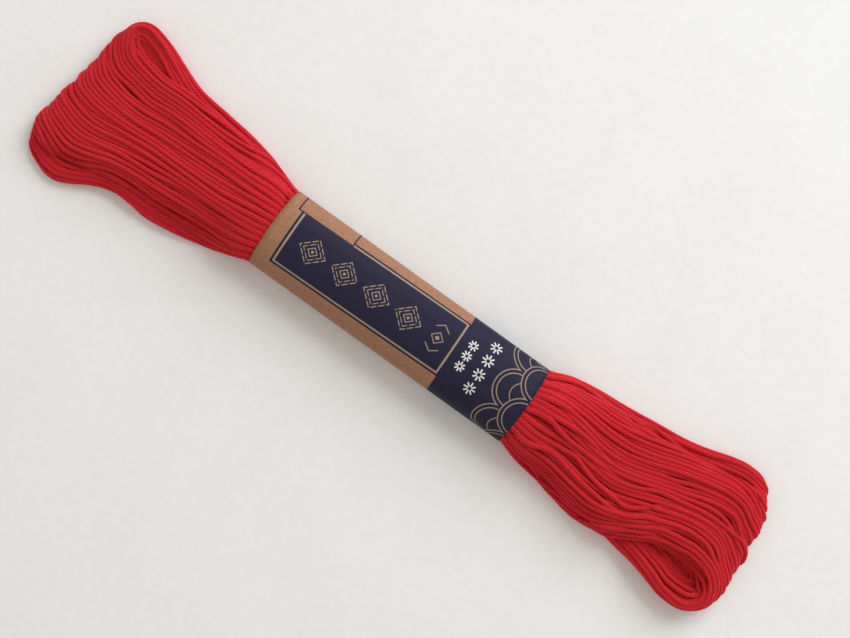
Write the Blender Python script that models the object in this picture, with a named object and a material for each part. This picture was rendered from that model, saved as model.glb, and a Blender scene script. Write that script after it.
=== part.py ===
"""Skein of embroidery floss: a flat-lying hank of thread held by a paper band.

Frame: metres, +Z up, origin on the resting surface under the middle of the bounding box.
+X runs along the hank towards the band's dark printed end, +Y across it.
"""
import math

import bmesh
import bpy
import numpy as np

MM = 0.001

# ---------------------------------------------------------------- driving dimensions (mm)
BAND_START = -32.3        # the band's ends along X
BAND_END = 30.1
BAND_SOUTH = -8.9         # the band's sides along Y
BAND_NORTH = 8.24
BAND_HEIGHT = 10.0
BAND_WALL = 1.0
BAND_CORNER = 3.6         # height of the band's widest line over its flat underside
BAND_BOW = 0.3            # how far the middle of each cut end stands out
GAP = 0.35                # clearance between the band and the floss
NECK = BAND_WALL + GAP    # how much smaller the floss is inside the band
MOUTH = 0.7               # how far past the band's cut ends the floss stays that small
TIP_ROWS = 74.0           # past this distance from the middle, each row below is a section

TOP_ROUNDNESS = 0.8       # 1 is an ellipse, less is flatter across the top
TWISTS = 7                # main bundles of strands seen across the top
TWIST_DEPTH = 0.45
TURN_SHIFT = 0.34         # how far a bundle swings aside as it turns under at an end
TURN_REACH = 5.0          # distance from the end in which it swings
TWIST_FADE = 10.0         # distance from the band in which the troughs reach full depth
LEAST_SKIN = 0.4          # a trough or eye stays this far over the underside

TOP_STEPS = 40            # steps over the top of one section
CORNER_STEPS = 4          # steps round each lower edge
STEP_AT_END = 1.25
STEP_IN_FAN = 2.4
STEP_IN_BAND = 8.0
LEAST_STEP = 0.6          # sections are no closer than this, apart from the table's own rows
FINE_LENGTH = 22.0        # length of each end that has the fine steps

# The hank's outline and height, one row for each section along X.
# south, north: sides; crown: top; low: underside; corner: height of the widest line over it
SECTION_COLUMNS = ("x", "south", "north", "crown", "low", "corner")
LEFT_FAN = (
    (-84.1, -11.3, -9.9, 2.9, 1.1, 0.9),
    (-83.2, -13.3, -8.5, 3.8, 0.3, 1.6),
    (-82.3, -15.2, -4.0, 4.4, 0.0, 2.0),
    (-81.3, -16.4, 0.6, 4.8, 0.0, 2.1),
    (-80.5, -17.0, 5.4, 5.0, 0.0, 2.2),
    (-79.5, -17.4, 12.0, 5.2, 0.0, 2.2),
    (-78.7, -17.8, 16.0, 5.3, 0.0, 2.2),
    (-76.7, -18.4, 18.4, 5.5, 0.0, 2.2),
    (-74.7, -18.8, 18.8, 5.6, 0.0, 2.2),
    (-70.7, -17.6, 17.8, 5.8, 0.0, 2.2),
    (-66.7, -15.2, 16.2, 6.0, 0.0, 2.3),
    (-62.7, -14.0, 15.0, 6.2, 0.0, 2.4),
    (-58.7, -14.0, 13.7, 6.4, 0.0, 2.4),
    (-50.7, -13.4, 12.9, 6.9, 0.0, 2.6),
    (-42.7, -12.4, 11.8, 7.7, 0.0, 2.8),
    (-36.7, -10.9, 9.8, 8.7, 0.2, 3.0),
    (-34.2, -9.8, 9.0, 9.2, 0.5, 3.1),
)
RIGHT_FAN = (
    (32.0, -10.4, 8.7, 9.2, 0.5, 3.1),
    (35.3, -11.8, 9.9, 8.5, 0.2, 3.0),
    (43.3, -12.5, 11.2, 7.6, 0.0, 2.8),
    (51.3, -13.2, 12.1, 6.9, 0.0, 2.6),
    (59.3, -13.1, 12.7, 6.4, 0.0, 2.4),
    (65.3, -14.0, 14.3, 6.1, 0.0, 2.3),
    (69.3, -14.4, 15.4, 6.0, 0.0, 2.2),
    (73.3, -15.5, 16.3, 5.8, 0.0, 2.2),
    (77.3, -15.7, 16.0, 5.6, 0.0, 2.2),
    (79.5, -15.0, 14.4, 5.4, 0.0, 2.2),
    (81.3, -13.4, 12.1, 5.1, 0.0, 2.1),
    (82.5, -11.4, 9.8, 4.7, 0.0, 2.0),
    (83.5, -8.8, 4.4, 4.0, 0.3, 1.6),
    (84.1, -5.9, -1.8, 3.1, 1.1, 0.9),
)

# The open eye that the last turns leave at one corner of each end.
EYE_COLUMNS = ("x", "y", "half_length", "half_width", "yaw_deg", "depth")
EYES = (
    (-71.3, 14.0, 5.6, 1.6, -27.0, 1.8),
    (73.9, -10.2, 6.6, 3.1, -8.0, 2.6),
)

# The line of each end where the strands turn under: x = x_mid + slant * y - bow * (y - y_mid)^2
END_COLUMNS = ("x_mid", "slant", "bow", "y_mid")
LEFT_END = (-80.9, 0.17, 0.0, 0.0)
RIGHT_END = (84.0, 0.0, 0.0125, -3.0)

FLOSS_COLOUR = (0.60, 0.018, 0.030, 1.0)
PAPER_COLOUR = (0.42, 0.27, 0.16, 1.0)


def material(name, colour, roughness):
    """A plain Principled material."""
    made = bpy.data.materials.new(name)
    made.use_nodes = True
    shader = made.node_tree.nodes["Principled BSDF"]
    shader.inputs["Base Color"].default_value = colour
    shader.inputs["Roughness"].default_value = roughness
    shader.inputs["Metallic"].default_value = 0.0
    return made


def neck_row(x):
    """A section of the floss inside the band, as wide and high as the band lets it be."""
    return (x, BAND_SOUTH + NECK, BAND_NORTH - NECK, BAND_HEIGHT - NECK, NECK, BAND_CORNER - NECK)


def section_rows():
    """Every section of the hank, with the two that hold it to the band's bore."""
    start = neck_row(BAND_START - MOUTH)
    end = neck_row(BAND_END + MOUTH)
    return LEFT_FAN + (start, end) + RIGHT_FAN


def smooth_through(xs, ys, x):
    """A cubic through the rows that never overshoots them (Fritsch and Carlson)."""
    slopes = np.diff(ys) / np.diff(xs)
    tangents = np.zeros(len(xs))
    for i in range(1, len(xs) - 1):
        if slopes[i - 1] * slopes[i] > 0.0:
            tangents[i] = 2.0 * slopes[i - 1] * slopes[i] / (slopes[i - 1] + slopes[i])
    tangents[0] = slopes[0]
    tangents[-1] = slopes[-1]
    i = int(np.clip(np.searchsorted(xs, x) - 1, 0, len(xs) - 2))
    width = xs[i + 1] - xs[i]
    t = (x - xs[i]) / width
    start = (2 * t**3 - 3 * t**2 + 1) * ys[i] + (t**3 - 2 * t**2 + t) * width * tangents[i]
    end = (3 * t**2 - 2 * t**3) * ys[i + 1] + (t**3 - t**2) * width * tangents[i + 1]
    return start + end


def section_at(x):
    """The hank's section at x, by the names of the table's columns."""
    rows = np.array(section_rows())
    found = {"x": x}
    for i, name in enumerate(SECTION_COLUMNS[1:], start=1):
        found[name] = smooth_through(rows[:, 0], rows[:, i], x)
    return found


def step_at(x):
    """The distance to the next section: short in the ends, long inside the band."""
    reach = min(x - LEFT_FAN[0][0], RIGHT_FAN[-1][0] - x)
    if reach < FINE_LENGTH:
        return STEP_AT_END
    if BAND_START < x < BAND_END - STEP_IN_BAND:
        return STEP_IN_BAND
    return STEP_IN_FAN


def stations():
    """The places of the hank's sections: the table's own rows near the tips, even steps between."""
    places = [row[0] for row in section_rows() if abs(row[0]) > TIP_ROWS]
    places += [BAND_START - MOUTH, BAND_END + MOUTH, LEFT_FAN[-1][0], RIGHT_FAN[0][0]]
    x = -TIP_ROWS + STEP_AT_END
    while x < TIP_ROWS:
        if min(abs(x - place) for place in places) > LEAST_STEP:
            places.append(x)
        x += step_at(x)
    return sorted(places)


def end_line(end, y):
    """Where the strands turn under at one end, for a place across the hank."""
    row = dict(zip(END_COLUMNS, end))
    return row["x_mid"] + row["slant"] * y - row["bow"] * (y - row["y_mid"]) ** 2


def twist_relief(x, y, across):
    """Depth of the troughs between the main bundles, which swing aside where they turn under."""
    to_left = max(x - end_line(LEFT_END, y), 0.0)
    to_right = max(end_line(RIGHT_END, y) - x, 0.0)
    stream = across - TURN_SHIFT * math.exp(-to_left / TURN_REACH)
    stream += TURN_SHIFT * math.exp(-to_right / TURN_REACH)
    wave = 0.5 - 0.5 * math.cos(math.pi * TWISTS * (stream + 1.0))
    beyond_band = max(BAND_START - MOUTH - x, x - BAND_END - MOUTH, 0.0)
    fade = min(beyond_band / TWIST_FADE, 1.0) * (1.0 - across**4)
    return TWIST_DEPTH * wave * fade


def eye_relief(x, y):
    """Depth of the open eyes at a place on the top."""
    depth = 0.0
    for row in EYES:
        eye = dict(zip(EYE_COLUMNS, row))
        yaw = math.radians(eye["yaw_deg"])
        dx = x - eye["x"]
        dy = y - eye["y"]
        along = (dx * math.cos(yaw) + dy * math.sin(yaw)) / eye["half_length"]
        over = (dy * math.cos(yaw) - dx * math.sin(yaw)) / eye["half_width"]
        depth += eye["depth"] * max(0.0, 1.0 - (along**2 + over**2) ** 1.5)
    return depth


def pressed_ring(section):
    """A section pressed flat below: over the top from south to north, then round the lower edges.

    Each point is (x, y, z, across): across runs from -1 to 1 over the top.
    """
    x = section["x"]
    low = section["low"]
    middle = 0.5 * (section["north"] + section["south"])
    half = 0.5 * (section["north"] - section["south"])
    rise = section["crown"] - low - section["corner"]
    ring = []
    for i in range(TOP_STEPS + 1):
        turn = math.pi * i / TOP_STEPS
        across = -math.cos(turn)
        z = low + section["corner"] + rise * math.sin(turn) ** TOP_ROUNDNESS
        ring.append((x, middle + half * across, z, across))
    round_width = min(section["corner"], 0.6 * half)
    for side in (1.0, -1.0):
        steps = range(1, CORNER_STEPS + 1) if side > 0.0 else range(CORNER_STEPS, 0, -1)
        for i in steps:
            turn = 0.5 * math.pi * i / CORNER_STEPS
            y = middle + side * (half - round_width * (1.0 - math.cos(turn)))
            z = low + section["corner"] * (1.0 - math.sin(turn))
            ring.append((x, y, z, side))
    return ring


def floss_ring(x):
    """One section of the hank, with its troughs and eyes pressed into the top."""
    section = section_at(x)
    ring = []
    for i, (x, y, z, across) in enumerate(pressed_ring(section)):
        if 0 < i < TOP_STEPS:
            relief = twist_relief(x, y, across) + eye_relief(x, y)
            z = max(z - relief, section["low"] + LEAST_SKIN)
        ring.append((x, y, z))
    return ring


def band_ring(x, wall, bow):
    """One end of the band's outer skin, or of its inner skin where wall is its thickness."""
    section = {
        "x": x,
        "south": BAND_SOUTH + wall,
        "north": BAND_NORTH - wall,
        "crown": BAND_HEIGHT - wall,
        "low": wall,
        "corner": BAND_CORNER - wall,
    }
    return [(x + bow * (1.0 - across**2), y, z) for x, y, z, across in pressed_ring(section)]


def loft(name, rings, is_tube, paint):
    """A solid skinned over equal rings. A tube joins its last ring to its first; a bar is capped."""
    mesh = bmesh.new()
    rows = []
    for ring in rings:
        rows.append([mesh.verts.new((x * MM, y * MM, z * MM)) for x, y, z in ring])
    count = len(rows[0])
    pairs = list(zip(rows[:-1], rows[1:]))
    if is_tube:
        pairs.append((rows[-1], rows[0]))
    for near, far in pairs:
        for i in range(count):
            j = (i + 1) % count
            mesh.faces.new((near[i], near[j], far[j], far[i]))
    if not is_tube:
        mesh.faces.new(rows[0])
        mesh.faces.new(list(reversed(rows[-1])))
    bmesh.ops.recalc_face_normals(mesh, faces=mesh.faces)
    bmesh.ops.triangulate(mesh, faces=mesh.faces)
    data = bpy.data.meshes.new(name)
    mesh.to_mesh(data)
    mesh.free()
    data.materials.append(paint)
    data.shade_smooth()
    data.set_sharp_from_angle(angle=math.radians(50.0))
    made = bpy.data.objects.new(name, data)
    bpy.context.scene.collection.objects.link(made)
    return made


def make_floss():
    """The wound thread as one solid."""
    paint = material("red_floss", FLOSS_COLOUR, 0.85)
    return loft("floss_hank", [floss_ring(x) for x in stations()], False, paint)


def make_band():
    """The paper band: its outer skin one way and its inner skin back, joined at both cut ends."""
    paint = material("printed_paper", PAPER_COLOUR, 0.6)
    outer = [band_ring(BAND_START, 0.0, -BAND_BOW), band_ring(BAND_END, 0.0, BAND_BOW)]
    inner = [band_ring(BAND_END, BAND_WALL, BAND_BOW), band_ring(BAND_START, BAND_WALL, -BAND_BOW)]
    return loft("paper_band", outer + inner, True, paint)


def main():
    """Clears the scene and makes both pieces."""
    for old in list(bpy.data.objects):
        bpy.data.objects.remove(old, do_unlink=True)
    make_floss()
    make_band()


main()
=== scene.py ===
"""A skein of red embroidery floss in a printed paper band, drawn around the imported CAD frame.

The floss is one 40 m thread. It is wound in long turns, pressed flat, and held at the middle by the band.
The turns are first laid along guide lines, then settled so that threads lie on each other without passing
through. Shapes are worked out in millimetres, and become metres when a mesh is made.
+X runs along the skein, +Y is its north side and Z is up.
"""

import math

import bpy
import numpy as np
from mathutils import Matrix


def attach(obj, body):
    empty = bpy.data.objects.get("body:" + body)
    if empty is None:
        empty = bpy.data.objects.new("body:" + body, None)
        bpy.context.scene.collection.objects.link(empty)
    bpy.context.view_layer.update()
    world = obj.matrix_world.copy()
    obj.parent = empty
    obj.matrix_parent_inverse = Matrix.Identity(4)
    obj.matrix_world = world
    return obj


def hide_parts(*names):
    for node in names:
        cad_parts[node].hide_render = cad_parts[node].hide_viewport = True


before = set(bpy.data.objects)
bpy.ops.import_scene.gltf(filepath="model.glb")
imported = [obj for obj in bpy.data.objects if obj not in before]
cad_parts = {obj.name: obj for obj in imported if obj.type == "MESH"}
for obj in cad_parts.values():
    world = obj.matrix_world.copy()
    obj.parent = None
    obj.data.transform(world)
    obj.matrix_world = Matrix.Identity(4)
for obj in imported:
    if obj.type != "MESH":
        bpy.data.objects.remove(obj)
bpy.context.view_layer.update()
rng = np.random.default_rng(7)

# ---------------------------------------------------------------- sizes

# The turns lie in rows, one inside another in the band. In the fans two rows lie side by side.
ROWS = (25, 24, 20, 20, 16, 16)  # turns in each row, from the innermost
TURNS = sum(ROWS)
ARC_SHARES = (0.0, 0.3, 0.5)  # of the pairs of rows: how far they follow the band's outline
THREAD = 0.90  # across a thread that nothing presses
PRESSED = 0.77  # the same inside the band
FLATTENED = 1.4  # how much wider the outermost threads lie where the band presses them flat
SECTION_SHARE = 0.62  # square millimetres of a bundle's section that one thread takes up
THICKEST = 5.5  # height that a layer of turns is stopped at
PLY_PITCH = 3.0  # along the thread for one turn of its plies
PLIES = 4

BAND_WEST, BAND_EAST = -31.65, 29.6
BAND_SOUTH, BAND_NORTH = -9.05, 8.42
BAND_HEIGHT = 10.0
BAND_LOW = 3.6  # height of the band's widest line
BAND_CENTRE = 0.5 * (BAND_SOUTH + BAND_NORTH)
BAND_HALF = 0.5 * (BAND_NORTH - BAND_SOUTH)
BAND_BOW = 0.27
PAPER = 0.16

# Where the threads of each layer run, as y at five places across the skein.
PLACES = (-1.0, -0.5, 0.0, 0.5, 1.0)
LAY_COLUMNS = ("x", "south", "south_half", "middle", "north_half", "north")
TOP_LAY = [
    (-83.1, -14.0, -7.0, 0.2, 7.8, 16.4),
    (-80.3, -16.4, -8.9, -1.5, 5.8, 15.2),
    (-77.7, -17.7, -10.0, -2.4, 4.9, 14.0),
    (-74.7, -18.3, -10.6, -3.0, 4.2, 12.2),
    (-70.7, -16.8, -9.9, -3.1, 3.8, 11.0),
    (-66.7, -14.4, -8.6, -2.7, 3.6, 10.4),
    (-60.7, -12.9, -7.8, -2.0, 4.2, 10.6),
    (-54.7, -13.6, -7.6, -1.7, 4.3, 10.4),
    (-48.7, -12.9, -7.1, -1.5, 4.3, 10.1),
    (-40.7, -11.2, -6.2, -1.2, 4.0, 9.4),
    (-34.7, -9.4, -5.5, -0.6, 4.2, 8.4),
    (-32.1, -8.4, -4.8, -0.3, 4.1, 7.8),
    (-27.0, -8.1, -4.5, -0.3, 3.9, 7.5),
    (25.0, -8.1, -4.5, -0.3, 3.9, 7.5),
    (30.1, -8.4, -4.8, -0.3, 4.1, 7.8),
    (33.3, -9.4, -5.4, -0.2, 4.8, 9.2),
    (39.3, -10.4, -5.4, 0.0, 5.4, 10.4),
    (47.3, -12.1, -7.0, -1.0, 5.4, 11.2),
    (52.3, -12.6, -7.4, -1.2, 5.6, 11.8),
    (56.3, -11.8, -6.4, -0.2, 6.2, 12.2),
    (61.3, -8.8, -4.1, 1.5, 7.4, 12.8),
    (66.3, -6.3, -2.1, 3.0, 8.5, 14.0),
    (70.3, -5.7, -1.2, 4.0, 9.5, 15.3),
    (73.3, -5.5, -1.0, 4.3, 10.0, 15.9),
    (76.3, -6.1, -1.5, 4.0, 9.9, 15.8),
    (78.9, -8.0, -3.3, 2.6, 8.8, 14.7),
    (81.5, -11.0, -5.8, 0.3, 6.6, 12.4),
    (84.1, -13.4, -8.4, -2.2, 4.2, 9.6),
]
BOTTOM_LAY = [
    (-83.1, -12.6, -5.6, 1.9, 10.2, 17.2),
    (-80.3, -12.8, -5.4, 2.6, 12.0, 17.8),
    (-77.7, -12.8, -5.2, 3.0, 13.1, 18.1),
    (-74.7, -12.2, -4.8, 3.4, 13.5, 18.3),
    (-70.7, -11.4, -4.3, 3.4, 12.6, 17.3),
    (-66.7, -10.6, -3.9, 3.0, 10.7, 15.6),
    (-60.7, -9.7, -3.6, 2.6, 8.6, 13.3),
    (-52.7, -9.2, -3.5, 2.0, 7.6, 12.3),
    (-40.7, -8.8, -3.9, 1.0, 6.0, 10.4),
    (-32.1, -8.4, -4.4, -0.3, 3.8, 7.8),
    (-27.0, -8.1, -4.2, -0.3, 3.6, 7.5),
    (25.0, -8.1, -4.2, -0.3, 3.6, 7.5),
    (30.1, -8.4, -4.4, -0.3, 3.8, 7.8),
    (39.3, -9.2, -4.8, 0.0, 4.4, 8.8),
    (47.3, -9.8, -5.4, -0.6, 4.4, 9.0),
    (56.3, -11.4, -6.8, -1.8, 3.6, 9.2),
    (61.3, -12.4, -7.6, -2.6, 3.0, 9.2),
    (66.3, -13.2, -9.2, -3.0, 3.2, 9.8),
    (70.3, -14.3, -10.6, -3.6, 3.0, 10.2),
    (73.3, -15.2, -11.8, -3.9, 3.2, 10.8),
    (76.3, -15.5, -12.1, -3.8, 3.8, 11.6),
    (78.9, -14.9, -11.4, -3.3, 4.6, 12.2),
    (81.5, -13.2, -9.8, -2.7, 5.2, 12.4),
    (84.1, -11.0, -7.4, -0.9, 6.0, 12.0),
]
# How far the turns reach at each end.
END_COLUMNS = ("y", "x")
WEST_END = [
    (-18.2, -77.7),
    (-16.6, -81.1),
    (-13.2, -82.9),
    (-9.8, -83.7),
    (-7.4, -82.7),
    (-3.8, -82.3),
    (0.2, -81.3),
    (8.2, -80.1),
    (15.2, -78.7),
    (18.6, -76.7),
]
EAST_END = [
    (-15.8, 77.3),
    (-13.0, 81.1),
    (-9.4, 83.1),
    (-7.0, 83.6),
    (-3.8, 83.7),
    (1.2, 82.9),
    (6.2, 82.9),
    (9.0, 82.7),
    (13.0, 79.7),
    (16.2, 77.3),
]

# Places where the top threads part.
PARTING_COLUMNS = ("x", "y", "half_length", "gap")
PARTINGS = [
    (-71.5, 4.6, 4.0, 0.55),
    (-51.5, -6.0, 6.0, 0.45),
    (-37.5, -6.8, 4.0, 0.4),
    (51.5, -6.3, 4.0, 0.5),
    (59.5, -4.8, 3.5, 0.4),
    (64.5, 5.8, 3.5, 0.3),
    (70.5, -2.6, 4.0, 0.5),
    (79.0, -1.6, 2.5, 0.5),
    (76.8, 4.8, 3.0, 0.6),
]
# Single threads that lie over their neighbours, each as (x, y) places.
STRAYS = [
    ((32.3, 4.2), (40.3, 3.0), (47.3, 1.6)),
    ((34.3, 1.0), (39.3, -0.4), (47.3, -1.4)),
    ((39.3, -3.8), (47.3, -6.4), (54.3, -7.2)),
    ((43.3, -2.6), (48.3, -4.2), (57.3, -5.4)),
    ((63.3, 1.8), (71.3, 2.6), (80.3, 2.8)),
    ((-59.3, -13.6), (-51.3, -13.2), (-42.3, -11.6)),
]

# The turns round the eye at the east end are the southern ones, those at the west end the northern ones.
EAST_COIL, WEST_COIL = 0.17, 0.16  # their share of the turns
EAST_RIM, WEST_RIM = 1.9, 1.8  # how wide they lie side by side past the eye
END_RADIUS = 2.7  # of the outermost hairpin, seen from the side
INNER_SHARE, OUTER_SHARE = 0.28, 0.72  # of it: the innermost hairpin's radius, and what the others add
OWN_WANDER, SHARED_WANDER, LIFT_WANDER = 0.42, 0.75, 0.15  # how far loose threads leave their lines

# ---------------------------------------------------------------- laying the turns


def through_rows(rows, x):
    """The columns of a table at each x, on a smooth line through its rows."""
    table = np.array(rows)
    xs, ys = table[:, 0], table[:, 1:]
    slope = np.gradient(ys, xs, axis=0)
    i = np.clip(np.searchsorted(xs, x) - 1, 0, len(xs) - 2)
    span = (xs[i + 1] - xs[i])[:, None]
    t = np.clip((x - xs[i])[:, None] / span, 0.0, 1.0)
    return hermite(ys[i], ys[i + 1], slope[i] * span, slope[i + 1] * span, t)


def hermite(a, b, tangent_a, tangent_b, t):
    return (
        (2 * t**3 - 3 * t**2 + 1) * a
        + (t**3 - 2 * t**2 + t) * tangent_a
        + (3 * t**2 - 2 * t**3) * b
        + (t**3 - t**2) * tangent_b
    )


def smooth_step(t):
    t = np.clip(t, 0.0, 1.0)
    return t * t * (3 - 2 * t)


def across(lay, x, place):
    """y of the layer's threads at x, for a place from -1 (south) to 1 (north)."""
    columns = through_rows(lay, x)
    k = np.clip(((place + 1.0) / 0.5).astype(int), 0, 3)
    n = np.arange(len(x))

    def tangent(j):
        before, after = np.maximum(j - 1, 0), np.minimum(j + 1, 4)
        return (columns[n, after] - columns[n, before]) / (after - before)

    t = (place - np.array(PLACES)[k]) / 0.5
    return hermite(columns[n, k], columns[n, k + 1], tangent(k), tangent(k + 1), t)


def outside_band(x, fade, before=0.0):
    """0 in the band, rising to 1 at fade outside it; the rise starts inside it, before its edge."""
    return smooth_step((np.maximum(BAND_WEST - x, x - BAND_EAST) + before) / (fade + before))


def flattening(x, outermost):
    """How many times wider a thread lies at x, in and near the band."""
    return 1.0 + (FLATTENED - 1.0) * outermost * (1 - outside_band(x, 15.0))


# A round section holds more threads at its middle: the place of each rank in it.
ROUND_PLACES = np.linspace(-1.0, 1.0, 401)
ROUND_RANKS = (ROUND_PLACES * np.sqrt(1 - ROUND_PLACES**2) + np.arcsin(ROUND_PLACES)) / math.pi + 0.5


def place_of(rank, x, arc=0.0):
    """Place across the skein of a turn's rank (0 south to 1 north).

    The turns lie evenly at the ends. At the band they fill a round section, and those with a large arc share
    lie evenly along its outline.
    """
    fan = outside_band(x, 42.0)
    arc = arc * (1 - outside_band(x, 24.0))
    round_place = (1 - arc) * np.interp(rank, ROUND_RANKS, ROUND_PLACES) - arc * np.cos(math.pi * rank)
    return (1 - fan) * round_place + fan * (2 * rank - 1)


def thickness(lay, x, rank):
    """Height of the layer where the turns of this rank lie."""
    low, high = np.clip(rank - 0.02, 0.0, 1.0), np.clip(rank + 0.02, 0.0, 1.0)
    width = across(lay, x, place_of(high, x)) - across(lay, x, place_of(low, x))
    return np.minimum(TURNS * (high - low) * SECTION_SHARE / np.maximum(np.abs(width), 1e-3), THICKEST)


def layer_height(lay, x, y):
    """Height of the layer at (x, y), 0 beside it."""
    ranks = np.linspace(0.0, 1.0, 13)
    rows = np.stack([across(lay, x, place_of(np.full_like(x, r), x)) for r in ranks], 1)
    beside = np.maximum(np.maximum(rows[:, 0] - y, y - rows[:, -1]), 0.0)
    n = np.arange(len(x))
    k = np.clip((rows < y[:, None]).sum(1) - 1, 0, len(ranks) - 2)
    share = np.clip((y - rows[n, k]) / np.maximum(rows[n, k + 1] - rows[n, k], 1e-6), 0.0, 1.0)
    rank = ranks[k] + share * (ranks[1] - ranks[0])
    return thickness(lay, x, rank) * np.clip(1 - beside / 1.2, 0.0, 1.0)


def turn_order():
    """(rank across, row) of each turn, in the order the thread takes them; row 0 is the innermost."""
    turns = []
    for row, count in enumerate(ROWS):
        shift = 0.25 + 0.5 * (row % 2) + 0.12 * (-1) ** (row // 2)
        for k in range(count):
            turns.append(((k + shift) / count, row))
    turns = np.array(turns)
    turns[:, 0] = np.clip(turns[:, 0] + rng.normal(0, 0.003, TURNS), 0.002, 0.998)
    return turns[np.argsort(np.round(turns[:, 0] * TURNS / len(ROWS)) + 0.1 * turns[:, 1])]


class Wander:
    """Smooth random waves along x, one set for each turn and one that neighbouring turns share."""

    OWN_LENGTHS, SHARED_LENGTHS = (22, 70), (35, 110)

    def __init__(self, turns, own_waves=3, shared_waves=14):
        size = (turns, own_waves)
        self.own_rate = self.rates(self.OWN_LENGTHS, size)
        self.own_phase = rng.uniform(0, 2 * math.pi, size)
        self.own_size = rng.normal(0, 1, size) / math.sqrt(own_waves)
        self.rate = self.rates(self.SHARED_LENGTHS, shared_waves)
        rank_length = rng.uniform(0.10, 0.5, shared_waves)
        self.rank_rate = 2 * math.pi / rank_length * rng.choice([-1, 1], shared_waves)
        self.phase = rng.uniform(0, 2 * math.pi, shared_waves)
        self.size = rng.normal(0, 1, shared_waves) / math.sqrt(shared_waves)

    @staticmethod
    def rates(lengths, size):
        shortest, longest = lengths
        return 2 * math.pi / np.exp(rng.uniform(math.log(shortest), math.log(longest), size))

    def own(self, turn, x, shift):
        angle = self.own_rate[turn] * x[:, None] + self.own_phase[turn] + shift
        return (self.own_size[turn] * np.sin(angle)).sum(1)

    def shared(self, rank, x, layer):
        layer_phase = 1.7 * layer * np.arange(len(self.size))
        angle = self.rate * x[:, None] + self.rank_rate * rank + self.phase + layer_phase
        return (self.size * np.sin(angle)).sum(1)


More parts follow.
